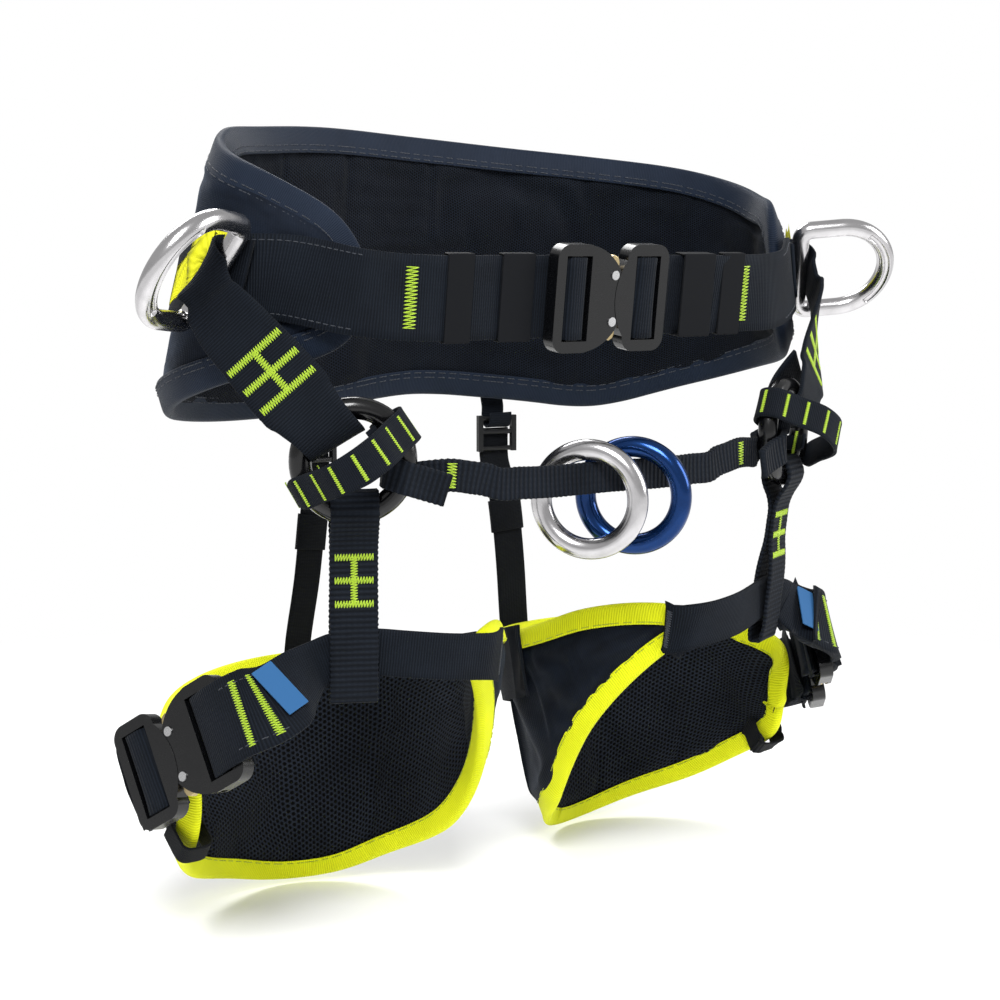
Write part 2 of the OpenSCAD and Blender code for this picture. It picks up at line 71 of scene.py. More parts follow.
def weld(co, tri):
    """Makes corners at the same place, to a thousandth of a millimetre, one corner."""
    key = np.round(co * 1e3).astype(np.int64)
    _, first, inverse = np.unique(key, axis=0, return_index=True, return_inverse=True)
    return co[first], inverse.reshape(-1)[tri]


def solids(node):
    """A node's separate solids, each as its points in millimetres and its triangles."""
    mesh = NODES[node].data
    mesh.calc_loop_triangles()
    co = np.empty(len(mesh.vertices) * 3)
    mesh.vertices.foreach_get("co", co)
    tri = np.empty(len(mesh.loop_triangles) * 3, np.int32)
    mesh.loop_triangles.foreach_get("vertices", tri)
    co, tri = weld(co.reshape(-1, 3) / MM, tri.reshape(-1, 3))
    group = np.arange(len(co))
    while True:
        low = group[tri].min(1)
        new = group.copy()
        for k in range(3):
            np.minimum.at(new, tri[:, k], low)
        new = new[new]
        if (new == group).all():
            break
        group = new
    out = []
    for g in np.unique(group):
        members = np.where(group == g)[0]
        number = -np.ones(len(co), int)
        number[members] = np.arange(len(members))
        out.append((co[members], number[tri[group[tri[:, 0]] == g]]))
    return out


def layers(near, start, banned=()):
    """Points in layers: start, then its neighbours, then theirs, and so on, never by a banned point."""
    seen = set(start) | set(banned)
    out = [set(start)]
    while True:
        following = {b for a in out[-1] for b in near[a]} - seen
        if not following:
            return out
        seen |= following
        out.append(following)


def halves(near, points):
    """Splits points into the groups that are joined to each other."""
    points, out = set(points), []
    while points:
        part = set.union(*layers({p: near[p] & points for p in points}, [min(points)]))
        out.append(part)
        points -= part
    return out


def rings(solid, closed):
    """The rings of four corners that a swept solid is made of, in order along it."""
    co, tri = solid
    near = [set() for _ in co]
    for a, b, c in tri:
        near[a] |= {b, c}
        near[b] |= {a, c}
        near[c] |= {a, b}
    last = [range(8)] if closed else layers(near, [0])[-2:]
    for first in [v for e in reversed(last) for v in sorted(e)]:
        for a, b in combinations(sorted(near[first]), 2):
            for c in sorted(near[a] & near[b] - {first}):
                start = {first, a, b, c}
                found = layers(near, start)
                if not closed:
                    if len(found) * 4 == len(co) and all(len(x) == 4 for x in found):
                        return ordered(co, found)
                elif len(found) > 1 and len(found[1]) == 8:
                    for half in halves(near, found[1]):
                        rest = layers(near, half, start)
                        if len(rest) * 4 + 4 == len(co) and all(len(x) == 4 for x in rest):
                            return ordered(co, [start, *rest])
    raise ValueError("not a swept strip of four-cornered rings")


def ordered(co, found):
    """Orders each ring's corners alike: left top, right top, right bottom, left bottom."""
    out = []
    centres = np.array([co[sorted(ring)].mean(0) for ring in found])
    ahead = np.gradient(centres, axis=0)
    for i, ring in enumerate(found):
        p = co[sorted(ring)]
        near = np.argsort(np.linalg.norm(p - p[0], axis=1))
        p = p[[0, near[2], near[3], near[1]]]
        hand = np.cross(p[1] - p[0], p[3] - p[0]) @ ahead[i]
        if not out:
            first = hand
        elif hand * first < 0:
            p = p[[1, 0, 3, 2]]
        if out and (p[1] - p[0]) @ (out[-1][1] - out[-1][0]) < 0:
            p = p[[2, 3, 0, 1]]
        out.append(p)
    return np.array(out)


def unit(v):
    v = np.asarray(v, float)
    return v / np.maximum(np.linalg.norm(v, axis=-1, keepdims=True), 1e-9)


def resample(values, step, closed=False):
    """Points of a smooth curve through rows of values, whose first three columns are a place."""
    values = np.asarray(values, float)
    if closed:
        values = np.vstack([values, values[:1]])
    gap = np.maximum(np.linalg.norm(np.diff(values[:, :3], axis=0), axis=1), 1e-6)
    s = np.concatenate([[0], np.cumsum(gap)])
    slope = np.gradient(values, s, axis=0)
    if closed:
        ends = (values[1] - values[-2]) / (gap[0] + gap[-1])
        slope[0] = slope[-1] = ends
    want = np.linspace(0, s[-1], max(2, int(round(s[-1] / step)) + 1))
    i = np.clip(np.searchsorted(s, want, side="right") - 1, 0, len(gap) - 1)
    h = gap[i][:, None]
    t = ((want - s[i]) / gap[i])[:, None]
    out = ((2 * t**3 - 3 * t**2 + 1) * values[i] + (t**3 - 2 * t**2 + t) * h * slope[i]
           + (3 * t**2 - 2 * t**3) * values[i + 1] + (t**3 - t**2) * h * slope[i + 1])
    return (out[:-1], want) if closed else (out, want)


class Strip:
    """A length of webbing: places, half widths and upper normals along it."""

    def __init__(self, node, index=0, step=2.2, closed=False):
        solid = sorted(solids(node), key=lambda x: x[0][:, 0].mean())[index]
        r = rings(solid, closed)
        self.t = float(np.linalg.norm(r[:, 0] - r[:, 3], axis=1).mean())
        left, right = (r[:, 0] + r[:, 3]) / 2, (r[:, 1] + r[:, 2]) / 2
        top = (r[:, 0] + r[:, 1] - r[:, 2] - r[:, 3]) / 2
        rows, self.s = resample(np.hstack([(left + right) / 2, (right - left) / 2, top]), step, closed)
        self.p, self.a, self.m = rows[:, :3], rows[:, 3:6], unit(rows[:, 6:9])
        self.closed = closed
        if closed and ((self.p - self.p.mean(0)) * self.m).sum() < 0:
            self.turned()

    def part(self, s0, s1):
        """The stretch of the strip from s0 to s1."""
        out = Strip.__new__(Strip)
        keep = (self.s >= s0) & (self.s <= s1)
        out.t, out.closed, out.s = self.t, False, self.s[keep]
        out.p, out.a, out.m = self.p[keep], self.a[keep], self.m[keep]
        return out

    def turned(self):
        """The same strip with its other face up."""
        self.m, self.a = -self.m, -self.a
        return self

    def near(self, place):
        """How far along the strip a place is."""
        return float(self.s[np.argmin(np.linalg.norm(self.p - np.asarray(place), axis=1))])

    def at(self, s, a, lift=0.0):
        """A point of the upper face, s along the strip and a across it, both in millimetres."""
        s = np.asarray(s, float)
        n = len(self.p)
        k = np.interp(s, self.s[:n], np.arange(n))
        i = np.clip(k.astype(int), 0, n - 2)
        f = (k - i)[..., None]
        mix = lambda v: v[i] * (1 - f) + v[i + 1] * f
        m = unit(mix(self.m))
        across = unit(mix(self.a)) * np.asarray(a, float)[..., None]
        return mix(self.p) + across + m * (self.t / 2 + lift), m


# ---------------------------------------------------------------- meshes

UV_SCALE = 0.1  # UV units in a millimetre

def new_object(name, co, faces, uv=None, smooth=True):
    """co in millimetres. uv has one row for each face corner, in millimetres."""
    mesh = bpy.data.meshes.new(name)
    mesh.from_pydata((np.asarray(co) * MM).tolist(), [], [tuple(int(i) for i in f) for f in faces])
    if uv is not None:
        layer = mesh.uv_layers.new(name="weave")
        layer.data.foreach_set("uv", (np.asarray(uv, float) * UV_SCALE).ravel())
    mesh.polygons.foreach_set("use_smooth", [smooth] * len(mesh.polygons))
    obj = bpy.data.objects.new(name, mesh)
    bpy.context.scene.collection.objects.link(obj)
    return obj


def tube(name, points, across, along, closed_along=False, caps=True):
    """A skin through rows of points that each go round a section. across and along are the UV values."""
    n, k = points.shape[:2]
    rows = n if closed_along else n - 1
    faces, uv = [], []
    for i in range(rows):
        a, b = i * k, ((i + 1) % n) * k
        for j in range(k):
            q = (j + 1) % k
            faces.append((a + j, a + q, b + q, b + j))
            u0, u1 = across[j], across[j + 1]
            uv += [(u0, along[i]), (u1, along[i]), (u1, along[i + 1]), (u0, along[i + 1])]
    if caps and not closed_along:
        for ring, flip in ((range(k), True), (range((n - 1) * k, n * k), False)):
            ring = list(ring)
            faces.append(tuple(ring[::-1] if flip else ring))
            uv += [(across[r % k], along[0 if flip else -1]) for r in faces[-1]]
    return new_object(name, points.reshape(-1, 3), faces, uv)


def webbing(name, strip, body, finish, replaces=(), teeth=0.0, pitch=1.5):
    """Woven tape with rounded selvages. teeth makes the edges stand in and out at each rib."""
    selvage, bead = 0.85, 0.0875  # where the thicker edge starts, and how much thicker it is
    top = [(x, 1 - 0.10 * (1 - x * x) + bead * (abs(x) > selvage)) for x in np.linspace(-1, 1, 9)]
    edge = [(1 + 0.028, 0.62), (1 + 0.036, 0), (1 + 0.028, -0.62)]
    section = top + edge + [(x, -z) for x, z in reversed(top)] + [(-x, -z) for x, z in edge]
    wide = np.linalg.norm(strip.a, axis=1)
    x = np.array([q[0] for q in section])
    z = np.array([q[1] for q in section])
    a = unit(strip.a)[:, None]
    rounding = 0.35  # how far the round of the edge stands out
    reach = wide[:, None] * np.clip(x, -1, 1) + np.sign(x) * (np.abs(x) > 1) * rounding
    if teeth:
        wave = teeth * np.sin(2 * math.pi * strip.s[: len(wide)] / (2 * pitch))[:, None]
        reach = reach + np.sign(x) * (np.abs(x) >= 1) * wave
    points = strip.p[:, None] + a * reach[..., None] + strip.m[:, None] * (z * strip.t / 2)[None, :, None]
    run = x * wide.mean()
    across = np.concatenate([run, run[:1]])
    obj = tube(name, points, across, strip.s, strip.closed)
    return finished(obj, body, finish, replaces)


def sleeve(name, strip, body, finish, clear=0.5, thick=1.1):
    """A band of elastic round a strip, along the whole of that stretch."""
    def loop(grow):
        corner = min(grow, 1.6)
        half = np.linalg.norm(strip.a, axis=1).mean() + grow
        high = strip.t / 2 + grow
        turn = [(half - corner, high), (half, high - corner * 0.8)]
        return turn + [(half, -high + corner * 0.8), (half - corner, -high)] + [(-x, -z) for x, z in turn] \
            + [(-half, high - corner * 0.8), (-half + corner, high)]
    a = unit(strip.a)
    place = lambda q: strip.p[:, None] + a[:, None] * q[None, :, :1] + strip.m[:, None] * q[None, :, 1:]
    outer, inner = place(np.array(loop(clear + thick))), place(np.array(loop(clear)))
    rows = np.concatenate([outer, inner[::-1]], 0)
    n, k = rows.shape[:2]
    along = np.concatenate([strip.s - strip.s[0], strip.s[::-1] - strip.s[0], [0]])
    sides = np.diff(outer[0], axis=0, append=outer[0][:1])
    width = np.concatenate([[0], np.cumsum(np.linalg.norm(sides, axis=1))])
    return finished(tube(name, rows, width, along, closed_along=True), body, finish)


def finished(obj, body, finish, replaces=()):
    obj.data.materials.append(finish)
    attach(obj, body)
    if replaces:
        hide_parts(*replaces)
    return obj


class Thread:
    """Stitches of one colour on one body, gathered into one mesh."""

    SIDES = 6

    def __init__(self, radius=0.32):
        self.radius = radius
        self.items = []

    def add(self, p, q, m, rise=None):
        """Stitches from p to q, with m the surface's normal there."""
        p, q, m = (np.atleast_2d(v) for v in (p, q, m))
        rise = self.radius * 0.9 if rise is None else rise
        self.items.append((p, q, np.broadcast_to(m, p.shape), np.full(len(p), rise)))

    def row(self, strip, s0, s1, a, pitch=3.6, length=2.7):
        """A line of stitches along a strip."""
        count = max(1, int(abs(s1 - s0) / pitch))
        s = np.linspace(min(s0, s1), max(s0, s1) - length, count)
        p, m = strip.at(s, np.full(count, a))
        q, _ = strip.at(s + length, np.full(count, a))
        self.add(p, q, m)

    def bar(self, strip, s, a0, a1, wide=4.4, pitch=1.35):
        """A dense zigzag across a strip, from a0 to a1."""
        count = max(2, int(abs(a1 - a0) / pitch))
        a = np.linspace(a0, a1, count)
        self.zigzag(strip, np.full(count, s), a, wide, 0)

    def run(self, strip, s0, s1, a, wide=4.4, pitch=1.35):
        """A dense zigzag along a strip, from s0 to s1."""
        count = max(2, int(abs(s1 - s0) / pitch))
        self.zigzag(strip, np.linspace(s0, s1, count), np.full(count, a), 0, wide)

    def zigzag(self, strip, s, a, along, across):
        p, m = strip.at(s - along / 2, a - across / 2)
        q, _ = strip.at(s + along / 2, a + across / 2)
        self.add(p, q, m)
        self.add(q[:-1], p[1:], m[1:])

    def build(self, name, body, finish, material_slot):
        if not self.items:
            return None
        p, q, m, rise = (np.concatenate(v) for v in zip(*self.items))
        h, r = unit(q - p), self.radius
        side = unit(np.cross(h, m))
        m = unit(np.cross(side, h))
        # Part of the way along a stitch, its width and its rise there
        stations = [(0.0, 0.45, 0.0), (0.16, 1.0, 0.55), (0.5, 1.05, 1.0), (0.84, 1.0, 0.55),
                    (1.0, 0.45, 0.0)]
        k = self.SIDES
        turn = np.arange(k) * 2 * math.pi / k
        rows = []
        for f, wide, up in stations:
            c = p + (q - p) * f + m * (rise * up - r * 0.25)[:, None]
            rows.append(c[:, None] + (side[:, None] * np.cos(turn)[None, :, None]
                                      + m[:, None] * np.sin(turn)[None, :, None]) * (r * wide))
        co = np.stack(rows, 1).reshape(-1, 3)
        n, per = len(p), len(stations) * k
        base = [(i * k + j, i * k + (j + 1) % k, (i + 1) * k + (j + 1) % k, (i + 1) * k + j)
                for i in range(len(stations) - 1) for j in range(k)]
        quads = (np.array(base)[None] + (np.arange(n) * per)[:, None, None]).reshape(-1, 4)
        ends = np.array([list(range(k))[::-1], list(range((len(stations) - 1) * k, per))])
        caps = (ends[None] + (np.arange(n) * per)[:, None, None]).reshape(-1, k)
        obj = new_object(name, co, [*quads.tolist(), *caps.tolist()])
        return finished(obj, body, finish)


# ---------------------------------------------------------------- materials


class Finish:
    """A small helper for building a material's nodes."""

    def __init__(self, name, rough=0.6, metal=0.0, specular=0.5, sheen=0.0, sheen_rough=0.4, coat=0.0):
        self.mat = bpy.data.materials.new(name)
        self.mat.use_nodes = True
        self.tree = self.mat.node_tree
        self.out = self.tree.nodes["Principled BSDF"]
        self.set("Roughness", rough)
        self.set("Metallic", metal)
        self.set("Specular IOR Level", specular)
        self.set("Sheen Weight", sheen)
        self.set("Sheen Roughness", sheen_rough)
        self.set("Coat Weight", coat)
        self.set("Coat Roughness", 0.06)

    def set(self, socket, value):
        self.out.inputs[socket].default_value = value

    def node(self, kind, **values):
        n = self.tree.nodes.new(kind)
        for k, v in values.items():
            setattr(n, k, v)
        return n

    def link(self, a, b):
        self.tree.links.new(a, b)

    def math(self, op, a, b=None):
        n = self.node("ShaderNodeMath", operation=op)
        for i, v in enumerate((a, b)):
            if v is None:
                continue
            if isinstance(v, (int, float)):
                n.inputs[i].default_value = v
            else:
                self.link(v, n.inputs[i])
        return n.outputs[0]

    def weigh(self, a, x, b, y):
        """x times a and y times b, added up."""
        return self.math("ADD", self.math("MULTIPLY", a, x), self.math("MULTIPLY", b, y))

    def place(self):
        """The place on the object, in millimetres."""
        n = self.node("ShaderNodeTexCoord")
        s = self.node("ShaderNodeVectorMath", operation="SCALE")
        s.inputs["Scale"].default_value = 1 / MM
        self.link(n.outputs["Object"], s.inputs[0])
        return s.outputs[0]

    def weave(self):
        """The place on a woven tape, in millimetres: x across, y along."""
        n = self.node("ShaderNodeUVMap", uv_map="weave")
        s = self.node("ShaderNodeVectorMath", operation="SCALE")
        s.inputs["Scale"].default_value = 1 / UV_SCALE
        self.link(n.outputs[0], s.inputs[0])
        x = self.node("ShaderNodeSeparateXYZ")
        self.link(s.outputs[0], x.inputs[0])
        return s.outputs[0], x.outputs[0], x.outputs[1]

    def wave(self, value, pitch, phase=0.0):
        """A ridge each pitch millimetres, from 0 to 1."""
        a = self.math("MULTIPLY", value, 2 * math.pi / pitch)
        if phase:
            a = self.math("ADD", a, phase)
        a = self.math("SINE", a)
        return self.math("MULTIPLY", self.math("ADD", a, 1.0), 0.5)

    def noise(self, vector, size, detail=2.0):
        """Noise whose features are about size millimetres."""
        n = self.node("ShaderNodeTexNoise")
        n.inputs["Scale"].default_value = 1 / size
        n.inputs["Detail"].default_value = detail
        self.link(vector, n.inputs["Vector"])
        return n.outputs[0]

    def spread(self, value, low, high, to_low=0.0, to_high=1.0):
        n = self.node("ShaderNodeMapRange")
        for i, v in enumerate((low, high, to_low, to_high)):
            n.inputs[i + 1].default_value = v
        self.link(value, n.inputs[0])
        return n.outputs[0]

    def mix(self, factor, a, b):
        n = self.node("ShaderNodeMix", data_type="RGBA")
        for i, v in ((0, factor), (6, a), (7, b)):
            if isinstance(v, (int, float)):
                n.inputs[i].default_value = v
            elif isinstance(v, tuple):
                n.inputs[i].default_value = (*v, 1)
            else:
                self.link(v, n.inputs[i])
        return n.outputs[2]

    def colour(self, value):
        if isinstance(value, tuple):
            self.set("Base Color", (*value, 1))
        else:
            self.link(value, self.out.inputs["Base Color"])

    def bump(self, height, depth_mm, strength=1.0):
        n = self.node("ShaderNodeBump")
        n.inputs["Strength"].default_value = strength
        n.inputs["Distance"].default_value = depth_mm * MM
        self.link(height, n.inputs["Height"])
        self.link(n.outputs[0], self.out.inputs["Normal"])


def woven_tape(name, dark, light, rib=1.5, yarn=2.2, depth=0.28, sheen=0.02, rough=0.72, tint=(1, 1, 1)):
    """Ribbed webbing: ribs across the width, broken up along it by the warp yarns. Its colour is darker
    where the weave sits low, as painted shade in the grooves, with random wear and fuzz.
    """
    f = Finish(name, rough=rough, specular=0.10, sheen=sheen, sheen_rough=0.45)
    f.set("Sheen Tint", (*tint, 1))
    uv, x, y = f.weave()
    wobble = f.math("MULTIPLY", f.noise(uv, 9.0), 0.5)
    row = f.math("ADD", y, wobble)
    ribs = f.wave(row, rib)
    warp = f.wave(x, yarn)
    crossing = f.math("MULTIPLY", warp, ribs)
    height = f.weigh(ribs, 0.75, crossing, 0.25)
    wear = f.spread(f.noise(uv, 26.0, 4.0), 0.35, 0.75)
    fuzz = f.noise(uv, 0.5, 1.0)
    # Colour: painted shade from the weave's height, darker in the grooves between ribs, mixed with random
    # wear and fuzz tone.
    painted_shade_and_tone = f.weigh(height, 0.55, wear, 0.25)
    painted_shade_and_tone = f.math("ADD", painted_shade_and_tone, f.math("MULTIPLY", fuzz, 0.2))
    f.colour(f.mix(painted_shade_and_tone, dark, light))
    f.bump(f.math("ADD", height, f.math("MULTIPLY", fuzz, 0.15)), depth)
    return f.mat


def grosgrain(name, dark, light, rib=1.6, depth=0.3, sheen=0.03, rough=0.62):
    """Binding tape with ribs across it. Its colour is darker in the grooves between ribs, as painted shade,
    with random wear tone.
    """
    f = Finish(name, rough=rough, specular=0.12, sheen=sheen, sheen_rough=0.35)
    uv, x, y = f.weave()
    ribs = f.wave(y, rib)
    wear = f.spread(f.noise(uv, 30.0, 4.0), 0.3, 0.75)
    # Colour: painted shade in the rib grooves, mixed with random wear tone.
    painted_shade_and_tone = f.weigh(ribs, 0.6, wear, 0.4)
    f.colour(f.mix(painted_shade_and_tone, dark, light))
    f.bump(ribs, depth)
    return f.mat


def thread_finish(name, dark, light):
    f = Finish(name, rough=0.5, specular=0.4, sheen=0.15)
    place = f.place()
    twist = f.wave(f.math("ADD", f.noise(place, 0.8), f.noise(place, 0.3)), 0.2)
    # Colour follows the twist's bump: darker where it sinks, as painted shade in the thread's hollows.
    f.colour(f.mix(twist, dark, light))
    f.bump(twist, 0.08)
    return f.mat


def knit(name, dark, light, cell=1.3, depth=0.18, sheen=0.06, rough=0.65, tint=(0.55, 0.7, 1.0), fold=0.0):
    """Closely woven pad fabric, with a soft sheen and slow folds. Its colour is darker in the weave's
    hollows as painted shade, and also follows the slow noise.
    """
    f = Finish(name, rough=rough, specular=0.10, sheen=sheen, sheen_rough=0.35)
    f.set("Sheen Tint", (*tint, 1))
    uv, x, y = f.weave()
    grid = f.math("MULTIPLY", f.wave(x, cell), f.wave(y, cell))
    slow = f.noise(uv, 22.0, 3.0)
    fuzz = f.noise(uv, 0.7, 1.0)
    # Colour: the weave grid darkens the hollows as painted shade. The slow noise is random tone, and where
    # fold is set it also sinks the bump, so there its dark parts are painted shade in the fold hollows.
    folds = f.spread(slow, 0.3, 0.7)
    painted_shade_and_tone = f.weigh(grid, 0.35, folds, 0.65)
    f.colour(f.mix(painted_shade_and_tone, dark, light))
    height = f.math("ADD", grid, f.math("MULTIPLY", fuzz, 0.4))
    if fold:
        height = f.math("ADD", height, f.math("MULTIPLY", slow, fold))
    f.bump(height, depth)
    return f.mat


def air_mesh(name, hole_shade, body, light, cell=3.0, row=2.4, depth=0.7, open_to=0.34):
    """Spacer mesh: staggered round holes in a knitted face, the holes painted near black as shade."""
    f = Finish(name, rough=0.8, specular=0.08, sheen=0.03, sheen_rough=0.5)
    uv, x, y = f.weave()
    line = f.math("DIVIDE", y, row)
    odd = f.math("MODULO", f.math("FLOOR", line), 2.0)
    col = f.math("ADD", f.math("DIVIDE", x, cell), f.math("MULTIPLY", odd, 0.5))
    fx = f.math("SUBTRACT", f.math("FRACT", col), 0.5)
    fy = f.math("MULTIPLY", f.math("SUBTRACT", f.math("FRACT", line), 0.5), row / cell)
    d = f.math("SQRT", f.math("ADD", f.math("MULTIPLY", fx, fx), f.math("MULTIPLY", fy, fy)))
    rim = f.spread(d, open_to - 0.10, open_to + 0.06)
    fuzz = f.noise(uv, 0.6, 2.0)
    slow = f.spread(f.noise(uv, 30.0, 3.0), 0.3, 0.7)
    yarn = f.mix(f.weigh(fuzz, 0.6, slow, 0.4), body, light)
    # Inside the rim the holes are painted near black: painted shade where the knit opens.
    f.colour(f.mix(rim, hole_shade, yarn))
    f.bump(f.math("ADD", rim, f.math("MULTIPLY", fuzz, 0.2)), depth)
    return f.mat


def metal(name, colour, rough=0.2, brushed=0.1, worn=None, coat=0.0, metallic=1.0):
    """Turned or polished metal, or paint over it, with fine scratches."""
    f = Finish(name, rough=rough, metal=metallic, specular=0.4, coat=coat)
    place = f.place()
    long = f.node("ShaderNodeMapping")
    long.inputs["Scale"].default_value = (1, 1, 9)
    f.link(place, long.inputs[0])
    scratch = f.noise(long.outputs[0], 1.6, 6.0)
    patch = f.noise(place, 11.0, 4.0)
    mixed = f.weigh(scratch, 0.5, patch, 0.5)
    f.link(f.spread(mixed, 0.3, 0.7, rough * 0.75, rough * 1.35), f.out.inputs["Roughness"])
    f.colour(f.mix(f.spread(patch, 0.42, 0.78), colour, worn or tuple(c * 0.82 for c in colour)))
    f.bump(scratch, brushed)
    return f.mat


# For the tapes, fabrics and threads below, the first colour is the dark end of the mix. It is painted shade
# where the weave or twist sits low, and the darker side of the random tone.
NAVY = (0.0012, 0.0019, 0.0034)
WEB = woven_tape("webbing navy", NAVY, (0.0085, 0.0125, 0.0200), depth=0.34)
WEB_COARSE = woven_tape("riser webbing", NAVY, (0.0100, 0.0140, 0.0220), rib=3.0, yarn=3.2, depth=0.7)
WEB_FINE = woven_tape("fine webbing", NAVY, (0.0080, 0.0115, 0.0185), rib=1.1, yarn=1.6, depth=0.25)
SOFT = knit("soft keeper", (0.0022, 0.0026, 0.0036), (0.0070, 0.0078, 0.0100), cell=0.9, sheen=0.02,
            tint=(1, 1, 1))
ELASTIC = woven_tape("elastic", (0.0015, 0.0020, 0.0030), (0.0070, 0.0085, 0.0115), rib=0.9, yarn=1.9,
                     depth=0.35)
SHELL = knit("shell fabric", (0.0022, 0.0040, 0.0085), (0.0075, 0.0125, 0.0240), sheen=0.09, fold=1.2)
# The first colour of each mesh, here and in LEG_MESH, is the holes' painted shade.
LINER = air_mesh("fine mesh", (0.0002, 0.0003, 0.0006), (0.0022, 0.0036, 0.0072),
                 (0.0075, 0.0115, 0.0200), cell=1.9, row=1.6, depth=0.35)
LEG_SHELL = knit("leg fabric", (0.0018, 0.0030, 0.0060), (0.0070, 0.0110, 0.0200), sheen=0.05, fold=1.6)
LEG_MESH = air_mesh("open mesh", (0.0001, 0.0001, 0.0002), (0.0055, 0.0075, 0.0120),
                    (0.0210, 0.0270, 0.0400), cell=3.3, row=2.7, depth=0.9)
BIND_NAVY = grosgrain("navy binding", (0.0045, 0.0085, 0.0180), (0.0120, 0.0200, 0.0380), rib=1.1,
                      depth=0.18, sheen=0.12)
BIND_YELLOW = grosgrain("yellow binding", (0.60, 0.66, 0.006), (0.88, 0.92, 0.014), rib=1.5, depth=0.3)
TAB_YELLOW = grosgrain("yellow tab", (0.62, 0.62, 0.015), (0.88, 0.87, 0.035), rib=1.1, depth=0.2)
LIME = thread_finish("lime thread", (0.30, 0.48, 0.012), (0.56, 0.80, 0.04))
YELLOW_THREAD = thread_finish("yellow thread", (0.30, 0.36, 0.004), (0.52, 0.62, 0.01))
DARK_THREAD = thread_finish("dark thread", (0.012, 0.015, 0.022), (0.05, 0.06, 0.08))
RING_BLACK = metal("black ring", (0.0025, 0.0026, 0.0032), rough=0.2, brushed=0.01, metallic=0.0, coat=0.2)
BUCKLE = metal("black buckle", (0.0025, 0.0027, 0.0033), rough=0.24, brushed=0.01, metallic=0.0, coat=0.12)
STEEL = metal("steel", (0.62, 0.62, 0.63), rough=0.25, brushed=0.01)
BRASS = metal("brass", (0.50, 0.40, 0.22), rough=0.3, brushed=0.01)
SILVER = metal("polished aluminium", (0.60, 0.59, 0.60), rough=0.2, brushed=0.006)
BLUE = metal("anodised blue", (0.005, 0.036, 0.15), rough=0.2, brushed=0.004, metallic=0.85, coat=0.2)
PLASTIC = metal("black plastic", (0.003, 0.0034, 0.0042), rough=0.42, brushed=0.02, metallic=0.0)
LABEL = grosgrain("blue label", (0.020, 0.085, 0.21), (0.036, 0.125, 0.29), rib=0.8, depth=0.12)

# ---------------------------------------------------------------- pads


def smoothstep(x, a, b):
    t = np.clip((x - a) / (b - a), 0, 1)
    return t * t * (3 - 2 * t)


